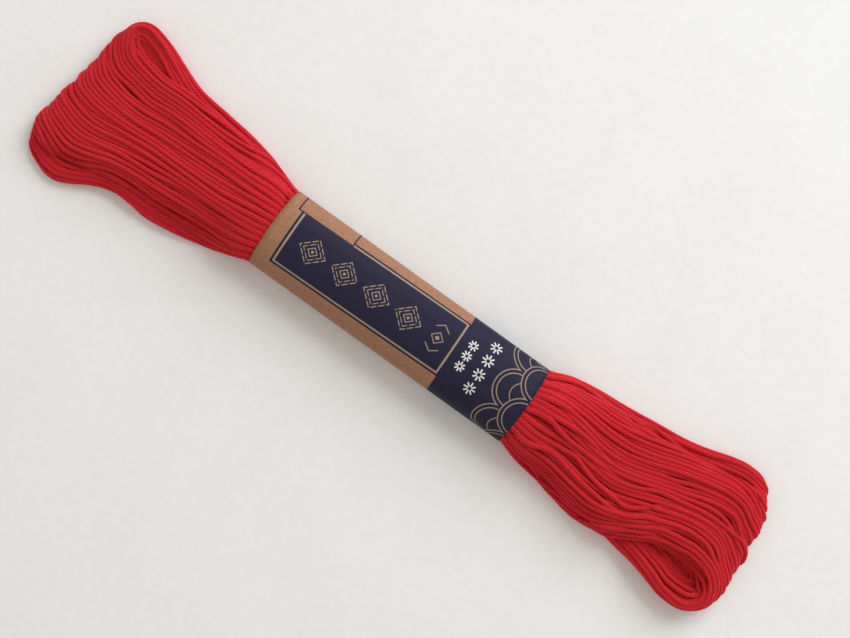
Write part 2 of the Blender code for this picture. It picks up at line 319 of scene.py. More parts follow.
class Turn:
    """One turn of the thread. Those coiled round an eye at an end come back in mirrored order."""

    def __init__(self, number, rank, row, wander):
        self.number, self.rank, self.wander = number, rank, wander
        inner_turns = sum(ROWS[:row]) + 0.5 * ROWS[row]
        self.outermost = row == len(ROWS) - 1
        self.arc = ARC_SHARES[row // 2]
        self.row_depth = inner_turns / TURNS + rng.normal(0, 0.015)
        self.depth = (row // 2) / (len(ROWS) // 2 - 1) + rng.normal(0, 0.02)
        self.east_coil = rank < EAST_COIL
        self.west_coil = rank > 1 - WEST_COIL
        self.stray = None
        self.west_x, self.west_tip, self.west_lean = self.find_end(WEST_END, -1)
        self.east_x, self.east_tip, self.east_lean = self.find_end(EAST_END, 1)

    def depth_at(self, x):
        """0 for the inside of the loop, 1 for its outside: two rows lie side by side in the fans."""
        fan = outside_band(x, 30.0)
        return self.row_depth * (1 - fan) + self.depth * fan

    def bottom_rank(self, x):
        east = EAST_COIL - self.rank if self.east_coil else self.rank
        west = 2 - WEST_COIL - self.rank if self.west_coil else self.rank
        return west + (east - west) * smooth_step((x + 20) / 40)

    def bottom_depth(self, x):
        depth = self.depth_at(x)
        mirrored = self.east_coil * smooth_step((x + 20) / 40) + self.west_coil * smooth_step((20 - x) / 40)
        return depth + (1 - 2 * depth) * mirrored

    def find_end(self, end, side):
        """(x where both legs end, x of the hairpin's tip, how far an inner turn's legs lean together)."""
        coiled = self.east_coil if side > 0 else self.west_coil
        inner = 0.0
        if coiled:
            inner = 1 - self.rank / EAST_COIL if side > 0 else 1 - (1 - self.rank) / WEST_COIL
        inset = 0.5 * THREAD + 0.9 * END_RADIUS * OUTER_SHARE * (1 - self.depth) + rng.normal(0, 0.08)
        inset += inner * (EAST_RIM if side > 0 else WEST_RIM)
        radius = END_RADIUS * (INNER_SHARE + OUTER_SHARE * self.depth)
        past_coil = self.rank - EAST_COIL if side > 0 else 1 - WEST_COIL - self.rank
        roundness = 0.5 - 0.28 * float(smooth_step(past_coil / 0.18))
        table = np.array(end)
        x = 79.0 * side
        for _ in range(12):
            here = np.array([x])
            top = across(TOP_LAY, here, place_of(self.rank, here))[0]
            bottom = across(BOTTOM_LAY, here, place_of(self.bottom_rank(here), here))[0]
            tip = float(np.interp(0.5 * (top + bottom), table[:, 0], table[:, 1])) - side * inset
            length = math.hypot(radius, roundness * (top - bottom))
            x += 0.6 * (tip - side * length - x)
        lean = (1 - self.depth) * END_RADIUS * (bottom - top) / math.hypot(2 * END_RADIUS, bottom - top)
        return x, tip, lean

    def lean(self, x):
        near_west = np.clip(1 - (x - self.west_x) / 14.0, 0.0, 1.0)
        near_east = np.clip(1 - (self.east_x - x) / 14.0, 0.0, 1.0)
        return 0.5 * (self.west_lean * near_west + self.east_lean * near_east)

    def leg(self, x, lay):
        """Points along the top or bottom leg."""
        on_top = lay is TOP_LAY
        rank = self.rank if on_top else self.bottom_rank(x)
        depth = self.depth_at(x) if on_top else self.bottom_depth(x)
        place = place_of(rank, x, self.arc)
        from_end = np.minimum(x - self.west_x, self.east_x - x)
        loose = outside_band(x, 14.0) * np.clip(from_end / 10.0, 0.15, 1.0)
        loose = loose * np.where(x > 0, 0.85 - 0.5 * smooth_step((self.rank - 0.5) / 0.2), 0.4)
        loose = loose * (1.0 - 0.8 * smooth_step((x - 52.0) / 8.0) * smooth_step((0.32 - rank) / 0.1))
        y = across(lay, x, place) + self.lean(x) * (1 if on_top else -1)
        y = y + loose * OWN_WANDER * self.wander.own(self.number, x, 0.0 if on_top else 2.0)
        y = y + loose * SHARED_WANDER * self.wander.shared(self.rank, x, 0 if on_top else 1)
        if on_top:
            y = y + parting(x, y)
        lift = np.zeros(len(x))
        if on_top and self.stray is not None:
            y, lift = follow_stray(self.stray, x, y)
        spare = thickness(lay, x, rank) - THREAD
        bulge = depth * (0.5 * BAND_HEIGHT - PAPER - 0.4) * np.sqrt(np.clip(1 - place**2, 0.0, 1.0))
        fan = outside_band(x, 10.0)
        if on_top:
            z = 0.5 * THREAD + layer_height(BOTTOM_LAY, x, y) + depth * spare
            z = z + loose * LIFT_WANDER * self.wander.own(self.number, x, 1.0) + lift
            z = fan * z + (1 - fan) * (0.5 * BAND_HEIGHT + bulge)
        else:
            z = 0.5 * THREAD + (1 - depth) * spare
            z = fan * z + (1 - fan) * (0.5 * BAND_HEIGHT - bulge)
        return np.stack([x, y, z], 1)

    def points(self):
        """Out along the bottom to the west end, back along the top, and in from the east."""
        x = np.concatenate(
            [
                np.linspace(self.west_x, BAND_WEST, 19),
                np.linspace(BAND_WEST, BAND_EAST, 17)[1:-1],
                np.linspace(BAND_EAST, self.east_x, 19),
            ]
        )
        top = self.leg(x, TOP_LAY)
        bottom = self.leg(x, BOTTOM_LAY)[::-1]
        half = len(bottom) // 2
        west_bend = hairpin(bottom[-2], bottom[-1], top[0], top[1], self.west_tip)
        east_bend = hairpin(top[-2], top[-1], bottom[0], bottom[1], self.east_tip)
        return np.concatenate([bottom[half:], west_bend, top, east_bend, bottom[:half]])


def parting(x, y):
    """How far aside the threads at (x, y) are moved by the partings."""
    aside = np.zeros(len(x))
    for px, py, half_length, gap in PARTINGS:
        near = np.exp(-(((x - px) / half_length) ** 2)) * np.exp(-np.abs(y - py) / 2.0)
        aside += gap * near * np.tanh((y - py) / 0.25)
    return aside


def follow_stray(stray, x, y):
    """(y, lift) of a top thread that follows a stray's line over its neighbours."""
    table = np.array(stray)
    share = smooth_step((x - table[0, 0] + 7.0) / 8.0) * smooth_step((table[-1, 0] + 7.0 - x) / 8.0)
    line = through_rows(table, x)[:, 0]
    return y + share * (line - y), 0.45 * share


def choose_strays(turns):
    """Gives each stray to the outer turn whose top leg lies nearest to it."""
    for stray in STRAYS:
        x, y = np.array(stray).T

        def distance(turn):
            return np.abs(across(TOP_LAY, x, place_of(turn.rank, x, turn.arc)) - y).mean()

        free = [turn for turn in turns if turn.depth > 0.8 and turn.stray is None]
        min(free, key=distance).stray = stray


def hairpin(before, start, end, after, tip):
    """Points between two legs, on from the first leg's line and into the second's; tip is the furthest x."""
    t = np.linspace(0.0, 1.0, 13)[1:-1, None]
    handle = (tip - start[0]) / 0.75
    a = start + (start - before) * handle / (start[0] - before[0])
    b = end + (end - after) * handle / (end[0] - after[0])
    a[2], b[2] = start[2], end[2]
    return (1 - t) ** 3 * start + 3 * (1 - t) ** 2 * t * a + 3 * (1 - t) * t**2 * b + t**3 * end


def lay_thread():
    """(turns, points, 3) of the whole thread, and which of its points belong to the outermost turns.

    Each turn drifts over to the next one under the band.
    """
    order = turn_order()
    wander = Wander(len(order))
    turns = [Turn(i, rank, int(row), wander) for i, (rank, row) in enumerate(order)]
    choose_strays(turns)
    path = np.array([turn.points() for turn in turns])
    joined = 8
    drift = (np.arange(1, joined + 1) / (joined + 1)) ** 2
    for i in range(len(path) - 1):
        step = path[i + 1, 0] - path[i, -1]
        path[i, -joined:, 1:] += drift[:, None] * step[1:]
    return path, np.repeat([float(turn.outermost) for turn in turns], path.shape[1])


# ---------------------------------------------------------------- settling the turns

NEIGHBOUR_CELL = np.array([3.4, 1.5, 1.5])
PUSH = 1.7  # how far crossing threads move apart in a round, as a share of the mean push
SINK = 0.006  # in each round
PRESS = 0.25  # share of a thread's height over the heap that a round takes off
SMOOTHING = 0.35  # of the points' shifts, along the thread
HOLD = (0.97, 0.985, 0.998)  # share of the shifts along x, y and z that a round keeps
POINT_ROOM = 0.52  # from the paper to a thread's middle


def close_pairs(p, reach):
    """(point, segment) pairs of the thread nearer than reach, at least a few points apart along it."""
    middle = 0.5 * (p[:-1] + p[1:])
    low = p.min(0) - 1.5 * NEIGHBOUR_CELL
    point_cell = ((p - low) / NEIGHBOUR_CELL).astype(np.int64)
    segment_cell = ((middle - low) / NEIGHBOUR_CELL).astype(np.int64)
    size = np.maximum(point_cell.max(0), segment_cell.max(0)) + 3
    keys = (segment_cell[:, 0] * size[1] + segment_cell[:, 1]) * size[2] + segment_cell[:, 2]
    order = np.argsort(keys, kind="stable")
    keys = keys[order]
    points, segments = [], []
    for dx in (-1, 0, 1):
        for dy in (-1, 0, 1):
            key = (point_cell[:, 0] + dx) * size[1] + point_cell[:, 1] + dy
            key = key * size[2] + point_cell[:, 2]
            first = np.searchsorted(keys, key - 1, "left")
            count = np.searchsorted(keys, key + 1, "right") - first
            i = np.repeat(np.arange(len(p)), count)
            step = np.arange(count.sum()) - np.repeat(np.cumsum(count) - count, count)
            j = order[np.repeat(first, count) + step]
            apart = np.abs(j - i) > 6
            points.append(i[apart])
            segments.append(j[apart])
    i, j = np.concatenate(points), np.concatenate(segments)
    offset, _ = nearest(p, i, j)
    near = (offset**2).sum(1) < reach**2
    return i[near], j[near]


def nearest(p, i, j):
    """(vector from the nearest place on segment j to point i, that place's share along the segment)."""
    start = p[j]
    along = p[j + 1] - start
    away = p[i] - start
    share = np.clip((away * along).sum(1) / np.maximum((along**2).sum(1), 1e-12), 0.0, 1.0)
    return away - share[:, None] * along, share


def press_into_band(p, radius):
    """Moves points in the band's bore, and just outside it, inside its curved section."""
    outside = np.maximum(np.maximum(BAND_WEST - p[:, 0], p[:, 0] - BAND_EAST), 0.0)
    half_width = BAND_HALF - PAPER - radius + 0.45 * outside
    up = BAND_HEIGHT - BAND_LOW - PAPER - radius + 0.15 * outside
    down = BAND_LOW - PAPER - radius + 0.15 * outside
    y, z = p[:, 1] - BAND_CENTRE, p[:, 2] - BAND_LOW
    above = z >= 0
    fill = np.where(
        above,
        np.abs(y / half_width) ** 2 + np.abs(z / up) ** 2.5,
        np.abs(y / half_width) ** 3 + np.abs(z / down) ** 3,
    )
    inside = outside < 3.4
    scale = np.where(inside & (fill > 1), fill ** np.where(above, -1 / 2.2, -1 / 3.0), 1.0)
    p[:, 1] = BAND_CENTRE + y * scale
    p[:, 2] = BAND_LOW + z * scale


class HeapTop:
    """The highest that a thread's centre lies, from the thickness of both layers."""

    def __init__(self):
        self.x, self.y = np.arange(-88.0, 89.0), np.arange(-21.0, 21.1, 0.5)
        x, y = (g.ravel() for g in np.meshgrid(self.x, self.y, indexing="ij"))
        height = layer_height(TOP_LAY, x, y) + layer_height(BOTTOM_LAY, x, y)
        height = height.reshape(len(self.x), len(self.y))
        for _ in range(3):
            padded = np.pad(height, 1, mode="edge")
            beside = padded[:-2, 1:-1] + padded[2:, 1:-1] + padded[1:-1, :-2] + padded[1:-1, 2:]
            height = (beside + height) / 5
        self.height = np.maximum(height - 0.45, 0.5 * THREAD)

    def at(self, x, y):
        i = np.clip((x - self.x[0]), 0, len(self.x) - 1.001)
        j = np.clip((y - self.y[0]) / 0.5, 0, len(self.y) - 1.001)
        a, b = i.astype(int), j.astype(int)
        s, t = i - a, j - b
        west = self.height[a, b] * (1 - t) + self.height[a, b + 1] * t
        east = self.height[a + 1, b] * (1 - t) + self.height[a + 1, b + 1] * t
        return west * (1 - s) + east * s


def heap_sides(x):
    """y of the outermost threads' centres on the south and north sides."""
    top, bottom = through_rows(TOP_LAY, x), through_rows(BOTTOM_LAY, x)
    return np.minimum(top[:, 0], bottom[:, 0]), np.maximum(top[:, -1], bottom[:, -1])


def settle(path, outermost, rounds):
    """Pushes crossing threads apart, lets them sink a little, and keeps them near where they were laid."""
    laid = path.reshape(-1, 3)
    p = laid.copy()
    count = len(p)
    n = np.arange(count)
    after, before = np.minimum(n + 1, count - 1), np.maximum(n - 1, 0)
    fan = outside_band(p[:, 0], 8.0)
    across_thread = PRESSED + (THREAD - 0.04 - PRESSED) * outside_band(p[:, 0], 3.0, 3.0)
    across_thread *= flattening(p[:, 0], outermost)
    top = HeapTop()
    room = np.maximum(p[:, 2] - top.at(p[:, 0], p[:, 1]), 0.0) * (p[:, 2] > 2.0)
    room = np.where(room > 0.8, room, 0.0)
    for turn in range(rounds):
        if turn % 15 == 0:
            i, j = close_pairs(p, THREAD + 0.22)
            wanted = 0.5 * (across_thread[i] + across_thread[j])
        offset, share = nearest(p, i, j)
        distance = np.sqrt((offset**2).sum(1)) + 1e-9
        hit = distance < wanted
        i_hit, j_hit, share = i[hit], j[hit], share[hit]
        push = (wanted[hit] - distance[hit]) / (1 + (1 - share) ** 2 + share**2) / distance[hit]
        push = offset[hit] * push[:, None]
        move = np.empty((count, 3))
        for axis in range(3):
            move[:, axis] = (
                np.bincount(i_hit, push[:, axis], count)
                - np.bincount(j_hit, push[:, axis] * (1 - share), count)
                - np.bincount(j_hit + 1, push[:, axis] * share, count)
            )
        pushes = (
            np.bincount(i_hit, minlength=count)
            + np.bincount(j_hit, 1 - share, count)
            + np.bincount(j_hit + 1, share, count)
        )
        p += PUSH * move / np.maximum(pushes, 1.0)[:, None]
        p[:, 2] -= SINK * fan
        over = np.maximum(p[:, 2] - top.at(p[:, 0], p[:, 1]) - room, 0.0)
        p[:, 2] -= PRESS * fan * over
        shift = p - laid
        shift += SMOOTHING * (0.5 * (shift[before] + shift[after]) - shift)
        p = laid + shift * HOLD
        south, north = heap_sides(p[:, 0])
        p[:, 1] += 0.5 * (np.maximum(south - p[:, 1], 0.0) - np.maximum(p[:, 1] - north, 0.0))
        press_into_band(p, POINT_ROOM)
        p[:, 2] = np.maximum(p[:, 2], 0.5 * THREAD)
    return p.reshape(path.shape)


def widest_gap(p):
    """Widest angle round the thread that no neighbour covers, at each point: large where the thread shows."""
    i, j = close_pairs(p, 1.25)
    offset, _ = nearest(p, i, j)
    tangent = np.gradient(p, axis=0)
    tangent /= np.linalg.norm(tangent, axis=1)[:, None]
    side, up = frames(tangent)
    angle = np.arctan2(-(offset * up[i]).sum(1), -(offset * side[i]).sum(1))
    order = np.lexsort((angle, i))
    i, angle = i[order], angle[order]
    gap = np.full(len(p), 2 * math.pi)
    first = np.flatnonzero(np.r_[True, i[1:] != i[:-1]])
    last = np.r_[first[1:] - 1, len(i) - 1]
    step = np.zeros(len(i))
    step[1:] = angle[1:] - angle[:-1]
    step[first] = angle[first] + 2 * math.pi - angle[last]
    gap[i[first]] = np.maximum.reduceat(step, first)
    return gap


# ---------------------------------------------------------------- meshes


def frames(tangent):
    """Two directions square to each tangent, carried along the thread without a twist."""
    x, y, z = 0.0, 0.0, 1.0
    side = []
    for tx, ty, tz in tangent.tolist():
        along = x * tx + y * ty + z * tz
        x, y, z = x - along * tx, y - along * ty, z - along * tz
        size = math.sqrt(x * x + y * y + z * z)
        x, y, z = x / size, y / size, z / size
        side.append((x, y, z))
    side = np.array(side)
    return side, np.cross(tangent, side)


def make_mesh(name, vertices, quads, material):
    """An object from arrays: vertices in millimetres, and faces with four corners."""
    mesh = bpy.data.meshes.new(name)
    mesh.vertices.add(len(vertices))
    mesh.vertices.foreach_set("co", (vertices * 0.001).astype(np.float32).ravel())
    mesh.loops.add(quads.size)
    mesh.loops.foreach_set("vertex_index", quads.astype(np.int32).ravel())
    mesh.polygons.add(len(quads))
    mesh.polygons.foreach_set("loop_start", np.arange(0, quads.size, 4, dtype=np.int32))
    mesh.polygons.foreach_set("use_smooth", np.full(len(quads), True))
    mesh.update(calc_edges=True)
    mesh.validate()
    mesh.materials.append(material)
    obj = bpy.data.objects.new(name, mesh)
    bpy.context.scene.collection.objects.link(obj)
    return obj


def point_vectors(obj, name, values):
    attribute = obj.data.attributes.new(name, "FLOAT_VECTOR", "POINT")
    attribute.data.foreach_set("vector", values.astype(np.float32).ravel())


def corner_places(obj, places):
    """A UV map named OFBake from (faces, corners, 2) places."""
    layer = obj.data.uv_layers.new(name="OFBake")
    layer.data.foreach_set("uv", places.astype(np.float32).ravel())


RING = 2 * PLIES  # corners of a thread's section: a crest and a valley for each ply
CREST, VALLEY = 0.484, 0.441  # their distances from its centre
RING_STEP, PEEP_STEP, HIDDEN_STEP = 0.30, 1.0, 3.0  # between sections: where it shows, peeps out or hides
SHOWS_OVER, PEEPS_OVER = 105, 80  # degrees round it that are uncovered


def smooth_line(p, parts):
    """A smooth line through the points, with this many parts between each two."""
    t = np.linspace(0, 1, parts + 1)[:-1][None, :, None]
    padded = np.concatenate([[2 * p[0] - p[1]], p, [2 * p[-1] - p[-2]]])
    a, b, c, d = (padded[k : len(p) - 1 + k, None] for k in range(4))
    dense = 0.5 * (2 * b + (c - a) * t + (2 * a - 5 * b + 4 * c - d) * t**2 + (3 * b - a - 3 * c + d) * t**3)
    return np.concatenate([dense.reshape(-1, 3), p[-1:]])


def resample(path):
    """Rings along the thread, fine where it shows and coarse where it is hidden.

    Returns their centres, lengths along the thread, turns about it, and places in the path's points.
    """
    p = path.reshape(-1, 3)
    gap = widest_gap(p).reshape(path.shape[:2])
    gap = np.maximum(gap, np.maximum(np.roll(gap, 1, 1), np.roll(gap, -1, 1))).ravel()
    gap = np.where((p[:, 0] > BAND_WEST + 0.1) & (p[:, 0] < BAND_EAST - 0.1), 0.0, gap)
    shows = np.degrees(gap) > SHOWS_OVER
    peeps = np.degrees(gap) > PEEPS_OVER
    step = np.where(shows, RING_STEP, np.where(peeps, PEEP_STEP, HIDDEN_STEP))
    twist = np.where(shows, 1.0, 0.0)
    dense = smooth_line(p, 8)
    place = np.arange(len(dense)) / 8
    length = np.r_[0.0, np.cumsum(np.linalg.norm(np.diff(dense, axis=0), axis=1))]
    step = np.interp(place, np.arange(len(p)), step)
    rings = np.r_[0.0, np.cumsum(np.diff(length) / (0.5 * (step[1:] + step[:-1])))]
    at = np.arange(0, rings[-1])
    where = np.interp(at, rings, length)
    centre = np.stack([np.interp(where, length, dense[:, k]) for k in range(3)], 1)
    centre[:, 2] = np.maximum(centre[:, 2], CREST)
    twist = np.interp(where, length, np.interp(place, np.arange(len(p)), twist))
    twisted = np.r_[0.0, np.cumsum(np.diff(where) * 0.5 * (twist[1:] + twist[:-1]))]
    return centre, where, -twisted * 2 * math.pi / PLY_PITCH, np.interp(at, rings, place)


ATLAS_ROWS = 60  # strips that a piece's thread is cut into on its UV map
ATLAS_FILL = 0.92  # share of a strip's width that its faces take up


def tube_faces(count):
    """Faces round a tube of count sections, and three that close each end."""
    k = np.arange(count - 1)[:, None] * RING
    c = np.arange(RING)[None, :]
    after = (c + 1) % RING
    round_it = np.stack([k + c, k + after, k + RING + after, k + RING + c], 2).reshape(-1, 4)
    cap = np.array([(0, 1, 2, 3), (0, 3, 4, 5), (0, 5, 6, 7)])
    return np.concatenate([round_it, cap[:, ::-1], cap + (count - 1) * RING])


def strip_places(where):
    """Places of the tube's faces on the UV map: the thread runs along its strips, one above the other."""
    start = where - where[0]
    row_length = start[-1] / ATLAS_ROWS * 1.0001
    row = np.floor(start[:-1] / row_length)
    longest = row_length + np.diff(start).max()
    west, east = (start[:-1] - row * row_length) / longest, (start[1:] - row * row_length) / longest
    low = (row[:, None] + 0.5 * (1 - ATLAS_FILL) + ATLAS_FILL * np.arange(RING) / RING) / ATLAS_ROWS
    high = low + ATLAS_FILL / RING / ATLAS_ROWS
    west, east = np.broadcast_to(west[:, None], low.shape), np.broadcast_to(east[:, None], low.shape)
    corners = np.stack([west, low, west, high, east, high, east, low], 2).reshape(-1, 4, 2)
    caps = np.concatenate([np.tile(corners[:1], (3, 1, 1)), np.tile(corners[-1:], (3, 1, 1))])
    return np.concatenate([corners, caps])


OVAL_CENTRE, OVAL_RADII = (BAND_CENTRE, 4.6), (8.3, 5.0)  # of the skein's section at the band, as (y, z)


def beside_surface(centre, tangent):
    """Direction square to the thread along the skein's surface, which is an oval near the band."""
    outward = (centre - (0.0, *OVAL_CENTRE)) * (0.0, 1 / OVAL_RADII[0] ** 2, 1 / OVAL_RADII[1] ** 2)
    direction = np.cross(tangent, outward)
    return direction / np.maximum(np.linalg.norm(direction, axis=1), 1e-9)[:, None]


def make_floss(path, outermost, material, pieces=5):
    centre, where, angle, point = resample(path)
    tangent = np.gradient(centre, axis=0)
    tangent /= np.linalg.norm(tangent, axis=1)[:, None]
    side, up = frames(tangent)
    corner = np.arange(RING) * 2 * math.pi / RING
    fan = outside_band(centre[:, 0], 0.5, 4.0)[:, None]
    radius = np.where(np.arange(RING) % 2 == 0, CREST, VALLEY)[None, :] * (0.93 + 0.07 * fan)
    around = corner[None, :] + angle[:, None]
    rings = (
        centre[:, None]
        + (radius * np.cos(around))[..., None] * side[:, None]
        + (radius * np.sin(around))[..., None] * up[:, None]
    )
    wider = flattening(centre[:, 0], np.interp(point, np.arange(len(outermost)), outermost)) - 1.0
    flat_way = beside_surface(centre, tangent)[:, None]
    offset = rings - centre[:, None]
    rings += (wider[:, None, None] * (offset * flat_way).sum(2, keepdims=True)) * flat_way
    rings[..., 2] = np.maximum(rings[..., 2], 0.0)
    ply = np.broadcast_to(corner[None, :], around.shape)
    lay = np.stack([np.cos(ply), np.sin(ply), np.repeat(where[:, None], RING, 1)], 2)
    ends = np.arange(pieces + 1) * (len(centre) - 1) // pieces
    for number, (first, last) in enumerate(zip(ends[:-1], ends[1:] + 1), 1):
        faces = tube_faces(last - first)
        vertices = rings[first:last].reshape(-1, 3)
        obj = make_mesh(f"floss_turns_{number}", vertices, faces, material)
        point_vectors(obj, "lay", lay[first:last].reshape(-1, 3))
        corner_places(obj, strip_places(where[first:last]))
        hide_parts("floss_hank")
        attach(obj, "root")


# ---------------------------------------------------------------- materials


class Num:
    """A number that changes over a surface, so that a shader's pattern can be written as a sum."""

    def __init__(self, socket):
        self.socket = socket
        self.tree = socket.id_data

    def node(self, operation, *others, clamp=False):
        node = self.tree.nodes.new("ShaderNodeMath")
        node.operation = operation
        node.use_clamp = clamp
        for socket, value in zip(node.inputs, (self, *others)):
            plug(value, socket)
        return Num(node.outputs[0])

    def __add__(self, other):
        return self.node("ADD", other)

    def __sub__(self, other):
        return self.node("SUBTRACT", other)

    def __rsub__(self, other):
        return (self * -1.0) + other

    def __mul__(self, other):
        return self.node("MULTIPLY", other)

    def __abs__(self):
        return self.node("ABSOLUTE")

    def power(self, exponent):
        return self.node("POWER", exponent)

    def least(self, other):
        return self.node("MINIMUM", other)

    def most(self, other):
        return self.node("MAXIMUM", other)

    def from_nearest(self, pitch):
        """Signed distance to the nearest multiple of pitch."""
        return (self + 0.5 * pitch).node("FLOORED_MODULO", pitch) - 0.5 * pitch

    def clamped(self):
        return self.node("ADD", 0.0, clamp=True)


def plug(value, socket):
    if isinstance(value, Num):
        socket.id_data.links.new(value.socket, socket)
    else:
        socket.default_value = value


def vector_parts(tree, vector):
    parts = tree.nodes.new("ShaderNodeSeparateXYZ")
    tree.links.new(vector, parts.inputs[0])
    return [Num(output) for output in parts.outputs]


def attribute_numbers(tree, name):
    """The three parts of a mesh's vector attribute."""
    attribute = tree.nodes.new("ShaderNodeAttribute")
    attribute.attribute_name = name
    return vector_parts(tree, attribute.outputs["Vector"])


def noise(tree, scale, detail, x, y, z):
    """Smooth noise from 0 to 1 at a place given by three numbers."""
    place = tree.nodes.new("ShaderNodeCombineXYZ")
    for value, socket in zip((x, y, z), place.inputs):
        plug(value, socket)
    node = tree.nodes.new("ShaderNodeTexNoise")
    node.inputs["Scale"].default_value = scale
    node.inputs["Detail"].default_value = detail
    tree.links.new(place.outputs[0], node.inputs["Vector"])
    return Num(node.outputs[0])


def mix_colours(tree, share, a, b):
    """A colour output between a and b; each is a colour or another such output."""
    node = tree.nodes.new("ShaderNodeMix")
    node.data_type = "RGBA"
    plug(share, node.inputs["Factor"])
    for value, name in ((a, "A"), (b, "B")):
        socket = [i for i in node.inputs if i.name == name and i.type == "RGBA"][0]
        if isinstance(value, bpy.types.NodeSocket):
            tree.links.new(value, socket)
        else:
            socket.default_value = (*value, 1.0)
    return [o for o in node.outputs if o.type == "RGBA"][0]


def add_bump(tree, shader, height, distance):
    node = tree.nodes.new("ShaderNodeBump")
    node.inputs["Distance"].default_value = distance * 0.001
    plug(height, node.inputs["Height"])
    tree.links.new(node.outputs["Normal"], shader.inputs["Normal"])


def new_material(name, colour, roughness):
    material = bpy.data.materials.new(name)
    material.use_nodes = True
    shader = material.node_tree.nodes["Principled BSDF"]
    shader.inputs["Base Color"].default_value = (*colour, 1.0)
    shader.inputs["Roughness"].default_value = roughness
    return material, shader


# The dark colour stands for darker fibres and dye, and also for painted shade in the grooves between the
# plies.
FLOSS_DARK_FIBRES_AND_GROOVE_SHADE, FLOSS_LIGHT = (0.42, 0.006, 0.013), (0.70, 0.017, 0.029)


def floss_material():
    """Red cotton: four twisted plies of fine fibres, with painted shade darkening the colour between the
    plies.
    """
    material, shader = new_material("red_cotton_floss", (0.66, 0.012, 0.022), 0.85)
    shader.inputs["Diffuse Roughness"].default_value = 1.0
    shader.inputs["Specular IOR Level"].default_value = 0.15
    shader.inputs["Subsurface Weight"].default_value = 0.3
    shader.inputs["Subsurface Radius"].default_value = (1.0, 0.1, 0.12)
    shader.inputs["Subsurface Scale"].default_value = 0.0008
    shader.inputs["Sheen Weight"].default_value = 0.35
    shader.inputs["Sheen Roughness"].default_value = 0.6
    shader.inputs["Sheen Tint"].default_value = (1.0, 0.2, 0.24, 1.0)
    tree = material.node_tree
    across_ply, up_ply, along = attribute_numbers(tree, "lay")
    angle = up_ply.node("ARCTAN2", across_ply)
    ply = abs((angle * (0.5 * PLIES)).node("COSINE")).power(0.7)
    fibres = noise(tree, 1.0, 3.0, across_ply * 7.0, up_ply * 7.0, along * 0.9)
    patches = noise(tree, 0.11, 2.0, along, 0.0, 0.0)
    # The tone mixes real fibre and dye variation with painted shade: the ply term darkens the colour in the
    # grooves between the plies.
    tone = (ply * 0.65 + fibres * 0.7 + (patches - 0.5) * 0.6 - 0.22).clamped()
    colour = mix_colours(tree, tone, FLOSS_DARK_FIBRES_AND_GROOVE_SHADE, FLOSS_LIGHT)
    tree.links.new(colour, shader.inputs["Base Color"])
    add_bump(tree, shader, ply * 0.75 + fibres * 0.35, 0.09)
    return material


# ---------------------------------------------------------------- the band's print

# The paper laid flat: x along the skein, w round it from the middle of the top, north side positive.
KRAFT = (0.400, 0.198, 0.116)
KRAFT_DARK = (0.262, 0.124, 0.069)
LINE = (0.33, 0.245, 0.18)
WHITE = (0.72, 0.71, 0.70)
NAVY = (0.018, 0.0155, 0.041)
PRINT_TURN = 0.019  # the print stands a little askew on the paper
PRINT_COLUMNS = ("west", "east", "south", "north")
RULE = (-28.4, 11.9, -5.78, 7.34)
LIGHT_LINE = (-27.92, 11.52, -5.32, 6.92)
PANEL = (-27.5, 11.12, -4.94, 6.54)
TAB = (-29.3, -16.15, 6.4, 30.0)
END_ZONE_WEST = 11.7
WAVE_PITCH = 8.4
WAVE_COLUMNS = ("x", "w")
WAVE_WEST, WAVE_EAST = (26.1, 0.75), (30.25, 4.85)
DIAMOND_PITCH = 7.6
STAR_COLUMNS = ("x", "middle", "pitch", "count", "size")
STARS = ((14.45, 1.1, 2.45, 3, 1.08), (18.5, 1.05, 3.3, 4, 1.3))


def ink(distance, blur=0.05):
    """1 where a distance is below zero, 0 above it, with a printed edge."""
    return (distance * (-1.0 / blur) + 0.5).clamped()


def box_distance(x, w, box, inset=0.0):
    west, east, south, north = box
    beside = abs(x - 0.5 * (west + east)) - (0.5 * (east - west) - inset)
    return beside.most(abs(w - 0.5 * (south + north)) - (0.5 * (north - south) - inset))


def from_centre(x, w):
    return (x * x + w * w).power(0.5)


def ring_distance(radius, size, width):
    return abs(radius - size) - 0.5 * width


def wave_lines(x, w, centre):
    """(inside a wave's disc, its two lines, its small crest) for one column of the wave pattern."""
    dx, dw = x - centre[0], (w - centre[1]).from_nearest(WAVE_PITCH)
    radius = from_centre(dx, dw)
    lines = ring_distance(radius, 4.42, 0.26).least(ring_distance(radius, 3.58, 0.24))
    crest = ring_distance(from_centre(dx - 1.7, dw), 2.45, 0.22)
    return ink(radius - 4.55), ink(lines), ink(crest)


def waves(x, w):
    west_disc, west_lines, west_crest = wave_lines(x, w, WAVE_WEST)
    east_disc, east_lines, _ = wave_lines(x, w, WAVE_EAST)
    return (west_disc * west_lines.most(west_crest) * (1.0 - east_disc)).most(east_disc * east_lines)


def stitched_diamonds(x, w):
    """Four large two-line diamonds in running stitches, and a small one between two chevrons."""
    dw = abs(w - 0.75)
    large = abs((x + 22.1).from_nearest(DIAMOND_PITCH)) * 0.92 + dw
    stitches = ink(abs((x * 0.8 + 0.2).from_nearest(0.95)) - 0.36, 0.12)
    outlines = ink(ring_distance(large, 2.75, 0.28)).most(ink(ring_distance(large, 1.95, 0.24)))
    flower = ink(ring_distance(large, 1.0, 0.26)).most(ink(large - 0.36))
    row = (outlines * stitches).most(flower) * ink(abs(x + 10.7) - 2 * DIAMOND_PITCH)
    dx = abs(x - 7.65)
    small = dx * 0.92 + dw
    centre = ink(ring_distance(small, 1.25, 0.24)).most(ink(small - 0.5))
    chevrons = ink(ring_distance(dx * 0.7 + dw, 3.05, 0.24)) * ink(1.95 - dw)
    return row.most(centre.most(chevrons) * ink(dx - 1.7))


